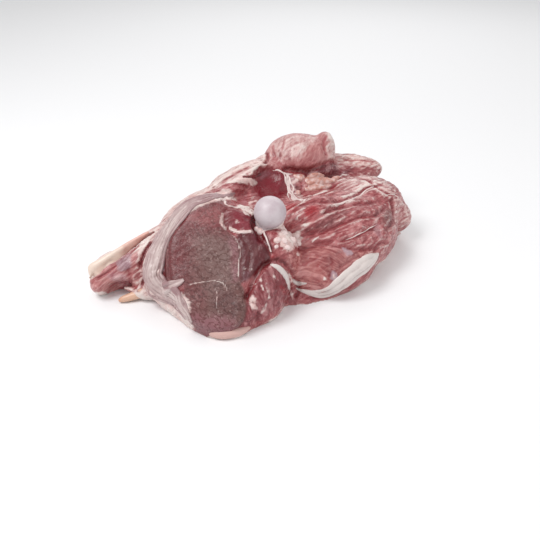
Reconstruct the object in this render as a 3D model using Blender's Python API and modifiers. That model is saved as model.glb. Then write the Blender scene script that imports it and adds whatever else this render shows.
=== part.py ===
"""A raw leg of lamb with its hip bone taken out, lying on its fat-covered outer side.

Three nodes: the flesh, one solid with its fat, the thigh bone, whose round head stands out of the
cut at the hip, and the heel tendon, which runs along the top of the shank. The tables are in
millimetres and the model is in metres, +Z up. The origin is the middle of the leg's box on plan,
on the surface that the leg lies on.
"""

import math

import bmesh
import bpy
from mathutils import Matrix, Vector

MM = 0.001

# How the flesh is made from its muscles.
GRID = 2.6              # voxel size at which the muscles are merged
SOFTENING = 7           # smoothing passes over the merged surface
FLESH_TRIANGLES = 7200  # what the flesh is reduced to
BONE_TRIANGLES = 900    # what the bone is reduced to
BONE_GRID = 1.3         # voxel size at which the ball and the neck are merged
BONE_SOFTENING = 3
BASE_TOLERANCE = 0.25   # how far off level the base may come out before it is levelled
CLEARANCE = 0.4         # space left between the flesh and what lies in it

# Each muscle is an egg: its middle, its half length, half width and half height, and how it is
# turned: pitch (a positive one lowers its +X end), and then its heading, counted from +X.
MUSCLES = {
    "core": ((-18, -8, 22), (80, 50, 38), (0, 12)),
    "ridge": ((-54, 3, 31), (46, 26, 30), (-14, 26)),
    "ridge_top": ((-22, 27, 44), (46, 25, 30), (-16, 30)),
    "hip_side": ((-23, -42, 46), (21, 20, 26), (0, 0)),
    "hip_front": ((3, -58, 34), (20, 20, 28), (0, 20)),
    "hip_far": ((34, -16, 38), (34, 24, 28), (0, 40)),
    "rump": ((57, 2, 24), (58, 48, 34), (0, 40)),
    "rump_top": ((84, 34, 36), (37, 31, 22), (4, 30)),
    "silverside": ((46, -26, 18), (46, 40, 30), (0, 36)),
    "chump": ((26, 62, 64), (32, 24, 25), (0, -4)),
    "chump_knob": ((49, 67, 72), (10, 11, 18), (0, 0)),
    "chump_root": ((-4, 53, 60), (13, 13, 13), (0, 0)),
    "back_root": ((22, 54, 32), (62, 36, 36), (0, 12)),
    "flap": ((68, 80, 48), (38, 17, 14), (0, -2)),
    "rump_end": ((109, 37, 22), (15, 20, 17), (0, 50)),
    "shank_end": ((-134, -55, 11), (9, 13, 11), (0, 0)),
    "knuckle": ((-4, -74, 16), (17, 28, 27), (0, -14)),
}

# The topside muscle is an egg that a knife has cut off flat, facing up and towards -Y.
TOPSIDE = ((-44, -50, 22), (43, 67, 57), (0, 12))
TOPSIDE_CUT_POINT = (-40, -84, 42)
TOPSIDE_CUT_SLOPE = 45

# The shank is a cone: the middle and the radius of its two ends, and how flat it is.
SHANK = ((-141, -52, 13), 13, (-58, -20, 24), 32)

# The outline of the fat and flesh that spread on the table, in plan, and how thick they lie.
FOOTPRINT = (
    (-140, -55), (-120, -58), (-88, -66), (-62, -96), (-45, -113), (-25, -114), (-8, -98),
    (10, -73), (30, -71), (50, -63), (70, -45), (92, -12), (112, 28), (124, 42), (112, 62),
    (84, 86), (40, 92), (-10, 74), (-62, 30), (-104, -10), (-132, -34),
)
FOOTPRINT_THICKNESS = 9

# Fat folds: a route with the radius of the fold at each of its points.
STRAP = (
    (-21, 14, 68, 6), (-44, -15, 64, 8), (-63, -27, 56, 9), (-77, -40, 46, 10),
    (-85, -55, 35, 10), (-87, -66, 22, 10), (-81, -74, 9, 9), (-67, -89, 5, 7),
)
TAG = ((-119, -69, 4, 3), (-104, -66, 6, 4.5), (-88, -62, 10, 7))

# The hollow left by the hip bone, cut out of the flesh behind the ball.
HIP_HOLLOW = ((1, 10, 70), (17, 24, 15), (0, 0))

HIP_BALL = (0, -51, 72)
HIP_BALL_RADIUS = 12.3
NECK_END = (-5, -42, 38)
NECK_RADII = (8.5, 11)

HEEL_TENDON = (
    (-142, -55, 20, 6), (-127, -49, 26.5, 5.5), (-110, -40, 34, 4.5), (-92, -31, 42, 3),
)


def egg(mesh, middle, halves, turn, subdivisions=4):
    """Adds one egg-shaped body to a mesh."""
    pitch, heading = (math.radians(angle) for angle in turn)
    place = (
        Matrix.Translation(Vector(middle) * MM)
        @ Matrix.Rotation(heading, 4, "Z")
        @ Matrix.Rotation(pitch, 4, "Y")
        @ Matrix.Diagonal((*(half * MM for half in halves), 1))
    )
    return bmesh.ops.create_icosphere(mesh, subdivisions=subdivisions, radius=1, matrix=place)["verts"]


def egg_mesh(name, middle, halves, turn):
    """An egg as a mesh of its own."""
    mesh = bmesh.new()
    egg(mesh, middle, halves, turn)
    data = bpy.data.meshes.new(name)
    mesh.to_mesh(data)
    mesh.free()
    return data


def cut_egg(mesh, middle, halves, turn, point, slope):
    """Adds an egg that is cut off flat by a plane leaning back at the given slope."""
    verts = egg(mesh, middle, halves, turn)
    edges = {edge for vert in verts for edge in vert.link_edges}
    faces = {face for vert in verts for face in vert.link_faces}
    lean = math.radians(slope)
    cut = bmesh.ops.bisect_plane(
        mesh, geom=[*verts, *edges, *faces], dist=1e-6, clear_outer=True,
        plane_co=Vector(point) * MM, plane_no=(0, -math.sin(lean), math.cos(lean)),
    )
    rim = [item for item in cut["geom_cut"] if isinstance(item, bmesh.types.BMEdge)]
    bmesh.ops.edgeloop_fill(mesh, edges=rim)


def rod(mesh, start, start_radius, end, end_radius, sides=32):
    """Adds a straight tapered rod between two points."""
    start, end = Vector(start) * MM, Vector(end) * MM
    along = end - start
    place = Matrix.Translation((start + end) / 2) @ along.to_track_quat("Z", "Y").to_matrix().to_4x4()
    bmesh.ops.create_cone(
        mesh, cap_ends=True, segments=sides, radius1=start_radius * MM, radius2=end_radius * MM,
        depth=along.length, matrix=place,
    )


def slab(mesh, outline, thickness):
    """Adds a flat slab with a sloping edge, from its outline on plan."""
    corners = [mesh.verts.new((x * MM, y * MM, -thickness * MM)) for x, y in outline]
    floor = mesh.faces.new(corners)
    step = bmesh.ops.extrude_face_region(mesh, geom=[floor])["geom"]
    wall_top = [item for item in step if isinstance(item, bmesh.types.BMVert)]
    bmesh.ops.translate(mesh, verts=wall_top, vec=(0, 0, thickness * MM))
    roof = next(item for item in step if isinstance(item, bmesh.types.BMFace))
    inset = bmesh.ops.extrude_face_region(mesh, geom=[roof])["geom"]
    bmesh.ops.delete(mesh, geom=[roof], context="FACES")
    top = [item for item in inset if isinstance(item, bmesh.types.BMVert)]
    middle = sum((vert.co for vert in top), Vector()) / len(top)
    for vert in top:
        inwards = (middle - vert.co).normalized()
        vert.co += inwards * thickness * MM + Vector((0, 0, thickness * MM))
    bmesh.ops.recalc_face_normals(mesh, faces=mesh.faces[:])


def fold(name, route, points_per_span=6):
    """Makes a round fold or cord along a smooth route and returns it as a closed mesh."""
    curve = bpy.data.curves.new(name, "CURVE")
    curve.dimensions = "3D"
    curve.bevel_depth = 1
    curve.bevel_resolution = 3
    curve.use_fill_caps = True
    curve.resolution_u = points_per_span
    spline = curve.splines.new("BEZIER")
    spline.bezier_points.add(len(route) - 1)
    for point, (x, y, z, radius) in zip(spline.bezier_points, route):
        point.co = (x * MM, y * MM, z * MM)
        point.radius = radius * MM
        point.handle_left_type = point.handle_right_type = "AUTO"
    guide = bpy.data.objects.new(name, curve)
    bpy.context.scene.collection.objects.link(guide)
    evaluated = guide.evaluated_get(bpy.context.evaluated_depsgraph_get())
    data = bpy.data.meshes.new_from_object(evaluated)
    bpy.data.objects.remove(guide)
    bpy.data.curves.remove(curve)
    mesh = bmesh.new()
    mesh.from_mesh(data)
    bmesh.ops.remove_doubles(mesh, verts=mesh.verts[:], dist=0.00001)
    bmesh.ops.recalc_face_normals(mesh, faces=mesh.faces[:])
    mesh.to_mesh(data)
    mesh.free()
    return data


def add_object(name, data, collection):
    """Puts a mesh into the scene under a name."""
    made = bpy.data.objects.new(name, data)
    collection.objects.link(made)
    return made


def finish_modifiers(made):
    """Replaces an object's mesh with the result of its modifiers."""
    evaluated = made.evaluated_get(bpy.context.evaluated_depsgraph_get())
    data = bpy.data.meshes.new_from_object(evaluated)
    made.modifiers.clear()
    made.data = data
    data.name = made.name


def merge_bodies(made, grid, softening):
    """Joins overlapping closed bodies into one skin and rounds the creases between them."""
    merge = made.modifiers.new("merge", "REMESH")
    merge.mode = "VOXEL"
    merge.voxel_size = grid * MM
    soften = made.modifiers.new("soften", "SMOOTH")
    soften.factor = 0.5
    soften.iterations = softening
    finish_modifiers(made)


def flatten_base(data):
    """Cuts the flesh off level where it lies on the table."""
    mesh = bmesh.new()
    mesh.from_mesh(data)
    cut = bmesh.ops.bisect_plane(
        mesh, geom=[*mesh.verts, *mesh.edges, *mesh.faces], dist=1e-7, clear_inner=True,
        plane_co=(0, 0, 0), plane_no=(0, 0, 1),
    )
    rim = [item for item in cut["geom_cut"] if isinstance(item, bmesh.types.BMEdge)]
    bmesh.ops.edgeloop_fill(mesh, edges=rim)
    bmesh.ops.triangulate(mesh, faces=mesh.faces[:])
    mesh.to_mesh(data)
    mesh.free()


def reduce_to(made, triangles):
    """Thins a mesh out to a number of triangles, and keeps its base level."""
    thin = made.modifiers.new("thin", "DECIMATE")
    made.data.calc_loop_triangles()
    thin.ratio = triangles / len(made.data.loop_triangles)
    finish_modifiers(made)
    for vert in made.data.vertices:
        if abs(vert.co.z) < BASE_TOLERANCE * MM:
            vert.co.z = 0


def keep_largest_body(data):
    """Removes any crumb that a cut has left behind."""
    mesh = bmesh.new()
    mesh.from_mesh(data)
    bmesh.ops.remove_doubles(mesh, verts=mesh.verts[:], dist=0.000002)
    left = set(mesh.verts)
    bodies = []
    while left:
        body, edge_of_body = set(), [next(iter(left))]
        while edge_of_body:
            vert = edge_of_body.pop()
            if vert in body:
                continue
            body.add(vert)
            edge_of_body.extend(edge.other_vert(vert) for edge in vert.link_edges)
        left -= body
        bodies.append(body)
    largest = max(bodies, key=len)
    crumbs = [vert for body in bodies if body is not largest for vert in body]
    bmesh.ops.delete(mesh, geom=crumbs, context="VERTS")
    bmesh.ops.triangulate(mesh, faces=mesh.faces[:])
    mesh.to_mesh(data)
    mesh.free()


def make_flesh(collection):
    """Merges the muscles and fat folds into one solid."""
    mesh = bmesh.new()
    for middle, halves, turn in MUSCLES.values():
        egg(mesh, middle, halves, turn)
    cut_egg(mesh, *TOPSIDE, TOPSIDE_CUT_POINT, TOPSIDE_CUT_SLOPE)
    rod(mesh, *SHANK)
    slab(mesh, FOOTPRINT, FOOTPRINT_THICKNESS)
    for name, route in (("strap", STRAP), ("tag", TAG)):
        mesh.from_mesh(fold(name, route))
    data = bpy.data.meshes.new("flesh")
    mesh.to_mesh(data)
    mesh.free()
    flesh = add_object("flesh", data, collection)
    merge_bodies(flesh, GRID, SOFTENING)
    flatten_base(flesh.data)
    reduce_to(flesh, FLESH_TRIANGLES)
    return flesh


def thigh_bone_mesh(grown=0.0):
    """The hip ball and the neck below it; grown is how much larger every radius is."""
    mesh = bmesh.new()
    bmesh.ops.create_uvsphere(
        mesh, u_segments=36, v_segments=18, radius=(HIP_BALL_RADIUS + grown) * MM,
        matrix=Matrix.Translation(Vector(HIP_BALL) * MM),
    )
    start, end = Vector(HIP_BALL), Vector(NECK_END)
    end += (end - start).normalized() * grown
    rod(mesh, start, NECK_RADII[0] + grown, end, NECK_RADII[1] + grown)
    data = bpy.data.meshes.new("thigh_bone")
    mesh.to_mesh(data)
    mesh.free()
    return data


def cut_pocket(flesh, name, data, cutters):
    """Cuts the space for a bone or tendon out of the flesh."""
    cutter = add_object(name, data, cutters)
    cutter.hide_render = True
    cutter.display_type = "WIRE"
    pocket = flesh.modifiers.new(name, "BOOLEAN")
    pocket.operation = "DIFFERENCE"
    pocket.solver = "EXACT"
    pocket.use_self = True
    pocket.object = cutter
    finish_modifiers(flesh)


def stand_on_origin(collection):
    """Moves every part so that the middle of the whole box on plan is the origin."""
    corners = [vert.co for made in collection.objects for vert in made.data.vertices]
    middle = Vector([(min(co[axis] for co in corners) + max(co[axis] for co in corners)) / 2
                     for axis in (0, 1)] + [0])
    for made in collection.objects:
        made.data.transform(Matrix.Translation(-middle))


def paint(made, name, colour, roughness):
    """Gives an object its own plain material."""
    material = bpy.data.materials.new(name)
    material.use_nodes = True
    surface = material.node_tree.nodes["Principled BSDF"]
    surface.inputs["Base Color"].default_value = (*colour, 1)
    surface.inputs["Roughness"].default_value = roughness
    surface.inputs["Metallic"].default_value = 0
    made.data.materials.clear()
    made.data.materials.append(material)


def main():
    for old in list(bpy.data.objects):
        bpy.data.objects.remove(old)
    parts = bpy.data.collections.new("leg_of_lamb")
    cutters = bpy.data.collections.new("cutters")
    for collection in (parts, cutters):
        bpy.context.scene.collection.children.link(collection)

    flesh = make_flesh(parts)
    bone = add_object("thigh_bone", thigh_bone_mesh(), parts)
    merge_bodies(bone, BONE_GRID, BONE_SOFTENING)
    reduce_to(bone, BONE_TRIANGLES)
    tendon = add_object("heel_tendon", fold("heel_tendon", HEEL_TENDON), parts)
    wide = tuple((x, y, z, radius + CLEARANCE) for x, y, z, radius in HEEL_TENDON)
    cut_pocket(flesh, "hip_hollow", egg_mesh("hip_hollow", *HIP_HOLLOW), cutters)
    cut_pocket(flesh, "bone_pocket", thigh_bone_mesh(CLEARANCE), cutters)
    cut_pocket(flesh, "tendon_groove", fold("tendon_groove", wide), cutters)
    keep_largest_body(flesh.data)
    stand_on_origin(parts)

    paint(flesh, "raw_meat", (0.33, 0.12, 0.11), 0.42)
    paint(bone, "bone", (0.62, 0.56, 0.53), 0.35)
    paint(tendon, "tendon", (0.66, 0.52, 0.42), 0.38)
    for made in parts.objects:
        made.data.shade_smooth()


main()
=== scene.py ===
"""The looks of a raw leg of lamb: flesh with its grain, seams and fat, the hip ball and the tendons.

Lengths in the tables are millimetres. Most features are placed on a drawing board: a plane that leans
back so that the cut side of the leg is seen square on. A place on it is (across, up), and what is
drawn there is carried onto the flesh along the board's normal.
"""

import math

import bmesh
import bpy
import numpy as np
from mathutils import Matrix, Vector, noise
from mathutils.bvhtree import BVHTree


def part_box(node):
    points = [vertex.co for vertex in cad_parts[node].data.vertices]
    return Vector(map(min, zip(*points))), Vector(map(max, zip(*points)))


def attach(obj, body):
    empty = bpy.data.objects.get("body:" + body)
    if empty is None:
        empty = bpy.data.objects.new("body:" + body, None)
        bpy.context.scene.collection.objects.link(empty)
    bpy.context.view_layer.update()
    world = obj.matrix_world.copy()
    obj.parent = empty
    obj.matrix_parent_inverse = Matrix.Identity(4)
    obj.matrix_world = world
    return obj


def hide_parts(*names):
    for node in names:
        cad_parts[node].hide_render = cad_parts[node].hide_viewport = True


bl_info = {
    "name": "Leg of Lamb",
    "version": (1, 0, 0),
    "blender": (4, 5, 0),
    "location": "View3D > Sidebar > Lamb",
    "description": "Builds the flesh, fat, bone and tendons of a raw leg of lamb",
    "category": "Add Mesh",
}

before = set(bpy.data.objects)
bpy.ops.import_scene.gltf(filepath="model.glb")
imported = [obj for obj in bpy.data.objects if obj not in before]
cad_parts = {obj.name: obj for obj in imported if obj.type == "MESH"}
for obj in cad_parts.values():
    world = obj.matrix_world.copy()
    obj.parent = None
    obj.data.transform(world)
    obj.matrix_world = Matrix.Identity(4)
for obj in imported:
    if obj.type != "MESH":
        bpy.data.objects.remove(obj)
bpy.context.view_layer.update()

MM = 0.001
BALL_RADIUS = 12.3
BALL_PLACE = Vector((0, -51, 72))   # where the middle of the hip ball is in the tables
BONE_LOW, BONE_HIGH = (Vector(corner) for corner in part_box("thigh_bone"))
BALL_MIDDLE = Vector((
    BONE_HIGH.x - BALL_RADIUS * MM, BONE_LOW.y + BALL_RADIUS * MM, BONE_HIGH.z - BALL_RADIUS * MM,
))
TABLE_ZERO = BALL_MIDDLE - BALL_PLACE * MM

BOARD_LEAN = math.radians(40)
BOARD_UP = np.array((0, math.sin(BOARD_LEAN), math.cos(BOARD_LEAN)))
BOARD_IN = np.array((0, math.cos(BOARD_LEAN), -math.sin(BOARD_LEAN)))
BOARD_DISTANCE = 300


# ---------------------------------------------------------------- colours

def linear(red, green, blue):
    """A screen colour, 0 to 255, as the linear colour that a shader takes."""
    return tuple(
        part / 12.92 if part <= 0.04045 else ((part + 0.055) / 1.055) ** 2.4
        for part in (red / 255, green / 255, blue / 255)
    )


FLESH_RED = linear(165, 95, 96)
FLESH_PINK = linear(176, 112, 108)
FLESH_PALE = linear(190, 140, 137)
FLESH_DEEP = linear(112, 52, 62)
FLESH_PURPLE = linear(82, 8, 22)
FLESH_CHERRY = linear(128, 34, 50)
FLESH_DUSK = linear(160, 80, 84)
FLESH_DULL = linear(134, 64, 70)
# The hollow's deep red is partly painted shade.
HOLLOW_RED_AND_SHADE = linear(124, 16, 36)
FRESH_RED = linear(158, 42, 50)
AGED_BROWN = linear(108, 74, 70)
AGED_GREY = linear(120, 95, 91)
AGED_RED = linear(114, 56, 59)
AGED_PINK = linear(135, 88, 94)
FACE_RED = linear(108, 44, 48)
FACE_DARK = linear(90, 52, 52)
# Painted shade: dark reds and a brown for the creases, gaps and hollows between the muscles.
CREASE_SHADE_RED = linear(128, 28, 40)
CREASE_SHADE_DEEP = linear(112, 16, 28)
CREASE_SHADE_BROWN = linear(70, 40, 38)
COVER_PINK = linear(206, 164, 156)
MEMBRANE = linear(196, 168, 172)
TAG_ORANGE = linear(198, 126, 84)
TAG_CREAM = linear(212, 172, 148)
TENDON_WHITE, TENDON_TINT = linear(224, 204, 190), linear(214, 164, 152)
# The strap's grey-pink tint is partly painted shade.
STRAP_WHITE, STRAP_TINT_AND_SHADE = linear(204, 186, 182), linear(154, 121, 123)
BAND_WHITE, BAND_TINT = linear(212, 201, 197), linear(204, 166, 158)
SINEW_WHITE, SINEW_TINT = linear(222, 204, 200), linear(206, 168, 164)
SOFT_WHITE, SOFT_TINT = linear(222, 200, 197), linear(190, 132, 118)
BONE_PALE, BONE_DUSK = linear(199, 187, 191), linear(186, 170, 176)

# Linear colours, and tints that a tone is multiplied by, within the finishes.
FIBRE_PALE = (0.86, 0.60, 0.58)
FIBRE_SHADE = (0.62, 0.34, 0.38)
FIBRE_LIGHT = (1.35, 1.35, 1.35)
WRINKLE_SHADE = (0.50, 0.30, 0.29)
MOTTLE_SHADE = (0.84, 0.56, 0.56)
GRIT_PALE = (0.58, 0.42, 0.38)
SILVERSKIN = (0.50, 0.40, 0.46)
# painted shade in the folds of fat
FOLD_SHADE = (0.24, 0.13, 0.13)
FLOOR_GREY = (0.86, 0.86, 0.87)


# ---------------------------------------------------------------- what is drawn on the board

HOLLOW = ((-13, 46), (-9, 71), (11, 73), (17, 64), (15, 50), (5, 44))
MEMBRANE_AREA = ((-36, 40), (-28, 50), (-22, 53), (-19, 46), (-18, 33), (-23, 29), (-34, 29))

CHUMP = ((-3, 78), (12, 76), (34, 78), (52, 84), (60, 96), (54, 112), (10, 112), (-3, 98))
SMALL_CUT = ((-34, 20), (-28, 25), (-19, 23), (-12, 19), (-11, 11), (-15, 8), (-26, 9), (-33, 12))
DEEP_MUSCLE = ((-24, 5), (-12, 8), (-6, 10), (0, 0), (2, -10), (-4, -18), (-14, -27), (-22, -32), (-23, -18))

# Areas where the grain hardly shows: outline and what is left of it.
CALM_AREAS = (
    (HOLLOW, 0.2), (MEMBRANE_AREA, 0.5), (CHUMP, 0.6), (SMALL_CUT, 0.4), (DEEP_MUSCLE, 0.35),
)

# Tone areas: an outline, a colour, how strongly it is laid on, and how soft its edge is.
TONES = (
    # rump, chump and the far side
    (((12, 12), (30, 30), (60, 45), (95, 62), (112, 60), (122, 40), (112, 20), (92, -2), (60, 0), (25, -2)),
     FLESH_RED, 0.8, 4),
    (((15, -2), (40, 1), (62, -3), (84, -2), (66, -14), (50, -26), (38, -34), (22, -33), (14, -20)),
     FLESH_PINK, 0.9, 4),
    (((45, -5), (62, -2), (70, -9), (56, -20), (46, -26), (40, -15)), AGED_RED, 0.35, 4),
    # painted shade, brown, in a crease of the rump
    (((36, 16), (50, 26), (62, 34), (58, 24), (46, 15)), CREASE_SHADE_BROWN, 0.35, 4),
    (((58, 66), (80, 76), (100, 66), (102, 54), (84, 56), (66, 58)), FLESH_PALE, 0.8, 4),
    (((92, 22), (100, 24), (108, 34), (104, 42), (94, 32)), AGED_BROWN, 0.55, 3),
    (((106, 28), (122, 30), (124, 44), (114, 52), (105, 44)), FLESH_PALE, 0.9, 3),
    (((22, 58), (30, 72), (46, 70), (58, 66), (52, 56), (34, 54)), FLESH_PALE, 0.55, 3),
    (((30, 22), (36, 22), (38, 30), (31, 32)), FRESH_RED, 0.75, 3),
    (((12, 28), (20, 27), (22, 34), (13, 37)), FRESH_RED, 0.7, 2.5),
    (((26, 76), (44, 79), (66, 88), (76, 84), (70, 76), (56, 69), (40, 71)), FLESH_DEEP, 0.85, 2.5),
    (((62, 80), (78, 84), (76, 89), (62, 90)), FLESH_RED, 0.7, 2),
    (((60, 91), (100, 88), (104, 98), (60, 101)), COVER_PINK, 0.8, 2.5),
    (CHUMP, FLESH_PALE, 0.9, 3),
    (((26, 84), (44, 84), (52, 96), (40, 106), (28, 98)), FLESH_PINK, 0.5, 5),
    (((10, 76), (28, 75), (44, 79), (40, 84), (24, 83), (10, 80)), FLESH_RED, 0.8, 2.5),
    (((-12, 82), (-3, 80), (-2, 94), (-10, 93)), FLESH_PINK, 0.6, 2),
    # ridge over the topside
    (((-100, 8), (-66, 34), (-40, 56), (-8, 82), (-6, 92), (-50, 72), (-100, 24)), COVER_PINK, 0.6, 4),
    (((-52, 46), (-36, 46), (-30, 56), (-38, 62), (-52, 54)), FLESH_RED, 0.55, 4),
    (MEMBRANE_AREA, FLESH_DUSK, 0.9, 1.5),
    # the hollow, whose deep red is partly painted shade, and the muscles round the ball
    (HOLLOW, HOLLOW_RED_AND_SHADE, 1.0, 4),
    # painted shade at the foot of the hollow
    (((-10, 42), (10, 42), (14, 52), (2, 56), (-9, 53)), CREASE_SHADE_DEEP, 0.5, 6),
    (SMALL_CUT, FLESH_CHERRY, 0.95, 1.5),
    (DEEP_MUSCLE, FLESH_PURPLE, 0.95, 1.5),
    (((-14, 10), (-6, 12), (-4, -2), (-12, 0)), FLESH_DEEP, 0.7, 2),
    (((0, -16), (10, -20), (16, -30), (13, -43), (0, -54), (-12, -60), (-20, -66), (-18, -48), (-9, -30)),
     FLESH_DULL, 0.85, 2.5),
    # shank
    (((-140, -26), (-128, -19), (-117, -10), (-104, 4), (-99, -4), (-102, -22), (-108, -34), (-139, -38)),
     FLESH_PINK, 0.9, 2),
    (((-136, -26), (-122, -16), (-104, 0), (-102, -22), (-108, -32), (-134, -36)), FLESH_PALE, 0.45, 3),
    (((-141, -27), (-133, -25), (-131, -34), (-140, -36)), FLESH_RED, 0.5, 2),
    (((-118, -10), (-110, -6), (-108, -17), (-117, -19)), FLESH_PURPLE, 0.55, 3),
    (((-127, -23), (-116, -20), (-110, -26), (-118, -29)), MEMBRANE, 0.5, 2),
)

# The cut face of the topside, and the tones within it.
CUT_FACE = (
    (-66, 17), (-60, 23), (-50, 28), (-40, 30), (-36, 22), (-34, 10), (-29, 5), (-24, -1), (-22, -12),
    (-22, -28), (-18, -40), (-17, -52), (-21, -63), (-28, -68), (-44, -71), (-54, -65), (-60, -54),
    (-64, -44), (-62, -33), (-72, -31), (-80, -29), (-82, -20), (-79, -4), (-73, 8),
)
RED_SIDE = ((-84, -32), (-60, -32), (-56, -4), (-56, 8), (-46, 30), (-66, 24), (-82, 0))
CUT_TONES = (
    (CUT_FACE, AGED_BROWN, 1.0, 1.0),
    (RED_SIDE, FACE_RED, 0.95, 12),
    (((-70, 12), (-44, 4), (-30, 2), (-34, 34), (-60, 28)), FACE_RED, 0.95, 7),
    (((-60, 20), (-46, 24), (-38, 28), (-36, 16), (-50, 12)), FLESH_RED, 0.40, 5),
    (((-48, 2), (-36, 3), (-26, -6), (-26, -24), (-38, -24), (-48, -10)), AGED_GREY, 0.65, 8),
    (((-30, 4), (-24, -2), (-22, -26), (-27, -30), (-29, -12)), AGED_PINK, 0.75, 2.5),
    (((-66, -34), (-52, -33), (-46, -40), (-48, -50), (-62, -52)), FACE_RED, 0.60, 4),
    (((-40, -40), (-28, -38), (-20, -50), (-30, -58), (-42, -50)), FACE_DARK, 0.55, 4),
    (((-60, -54), (-40, -56), (-24, -60), (-26, -72), (-48, -75)), AGED_PINK, 0.9, 5),
)

# Grooves: a route, how wide and how deep it is. A negative depth is a swelling.
GROOVES = (
    # round the cut face
    (((-62, 21), (-68, 14), (-74, 6), (-79, -6), (-81, -20), (-78, -30)), 3.5, 1.6),
    (((-34, 20), (-33, 12), (-28, 6), (-23, -1), (-21, -12), (-21, -28)), 2.0, 0.7),
    (((-18, -38), (-16, -50), (-20, -62), (-28, -69)), 3.0, 1.6),
    (((-24, -45), (-22, -55), (-26, -64)), 5.0, -1.2),
    # front groove between topside, deep muscles and knuckle
    (((2, -14), (-5, -19), (-11, -27), (-15, -37), (-18, -44)), 4.0, 3.6),
    (((2, -14), (12, -17), (22, -30), (20, -40)), 3.0, 1.8),
    (((-10, 22), (-12, 14), (-8, 6), (-2, -4), (2, -12)), 3.5, 2.6),
    (((-35, 22), (-30, 26), (-20, 25), (-13, 20)), 2.0, 0.8),
    (((-31, 9), (-22, 6), (-13, 6)), 2.2, 1.0),
    (((-36, 38), (-34, 28), (-22, 28), (-14, 26)), 2.0, 0.9),
    (((-22, 5), (-15, -8), (-16, -24)), 2.2, 0.9),
    (((-8, 4), (-9, -8), (-4, -16)), 2.2, 0.8),
    # hollow and the ridge beside it
    (((12, 30), (20, 36), (30, 44), (44, 48)), 3.0, 1.8),
    (((-23, 62), (-15, 64), (-7, 70)), 1.8, 1.3),
    (((-60, 40), (-45, 46), (-30, 54), (-20, 56)), 3.0, 1.3),
    (((-70, 34), (-50, 50), (-34, 64), (-16, 74)), 3.0, 1.3),
    (((-40, 42), (-28, 52), (-18, 54)), 2.5, 1.0),
    # chump and flap
    (((-3, 94), (-2, 86), (-5, 78)), 2.6, 2.4),
    (((10, 76), (24, 74), (36, 75), (48, 80), (60, 88)), 4.0, 3.5),
    (((30, 71), (42, 70), (54, 73), (66, 80)), 4.5, 4.0),
    (((3, 100), (3, 92), (5, 86)), 2.2, 0.6),
    (((13, 104), (11, 95), (9, 85)), 2.0, 0.4),
    (((50, 108), (47, 98), (50, 88)), 2.6, 1.0),
    (((66, 92), (82, 93), (98, 92)), 2.2, 0.8),
    (((22, 60), (25, 56), (28, 60), (26, 65)), 2.4, 1.6),
    (((34, 60), (44, 64), (52, 60), (58, 65)), 3.0, 1.6),
    (((46, 70), (49, 64), (53, 60)), 2.4, 1.6),
    # bundles of the rump
    (((20, 32), (34, 37), (48, 38), (60, 43), (72, 49), (84, 58), (98, 62)), 3.2, 1.9),
    (((22, 18), (34, 22), (48, 30), (62, 36), (78, 40), (92, 44)), 3.2, 1.7),
    (((24, 8), (40, 12), (58, 20), (74, 27), (88, 30), (98, 40)), 3.4, 1.8),
    (((30, 2), (46, 4), (60, 6), (72, 11), (84, 18), (92, 22)), 3.0, 1.6),
    (((18, -4), (36, 0), (54, 0), (70, -2), (86, 2)), 3.2, 1.7),
    (((94, 16), (103, 26), (106, 36), (104, 48)), 3.4, 2.4),
    (((98, 8), (88, 4), (84, -4)), 3.0, 1.5),
    (((104, 52), (96, 56), (86, 66), (76, 72)), 3.0, 1.6),
    (((60, 76), (74, 70), (88, 66), (100, 60)), 2.6, 1.1),
    (((46, -6), (48, -16), (44, -28)), 3.0, 0.6),
    (((20, -38), (40, -40), (58, -34), (72, -24), (88, -10)), 2.6, 1.2),
    # knuckle
    (((-9, -34), (-2, -44), (0, -54)), 2.6, 1.0),
    (((4, -22), (6, -36), (2, -50)), 2.6, 1.0),
    (((-16, -44), (-8, -50), (-10, -60)), 2.4, 1.0),
    # shank
    (((-93, 4), (-98, -3), (-100, -10), (-102, -17)), 2.6, 2.6),
    (((-99, -24), (-101, -30), (-104, -36)), 2.0, 1.4),
    (((-136, -25), (-124, -18), (-112, -6), (-102, 4)), 2.2, 1.3),
    (((-112, -12), (-110, -24), (-112, -33)), 3.0, 0.8),
)

# Strokes of bright blood: route, width, strength.
BLOOD = (
    (((28, 24), (32, 26), (37, 31)), 4.2, 0.9),
    (((11, 30), (15, 33), (20, 36)), 2.4, 0.9),
    (((1, -9), (2, -12)), 1.6, 0.9),
    (((16, 14), (21, 18), (27, 20)), 1.6, 0.6),
    (((5, 4), (7, -2)), 1.4, 0.6),
    (((8, -32), (11, -38)), 1.6, 0.6),
)

# Places pushed in or out: middle, reach on each axis and push, in the tables' millimetres.
PUSHES = (
    ((-118, -67, 2), (20, 21, 20), (0, 14, 2)),
    ((-138, -68, 2), (10, 12, 12), (0, 3.5, 0)),
    ((-137, -52, 22), (20, 16, 16), (0, -1.2, -2.2)),
    ((-118, -45, 30), (20, 16, 16), (0, -1.2, -2.0)),
    ((-76, -82, 4), (22, 22, 14), (2.2, 2.0, 0)),
    ((112, 88, 24), (18, 15, 15), (0.8, 1.4, 2.6)),
)
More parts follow.
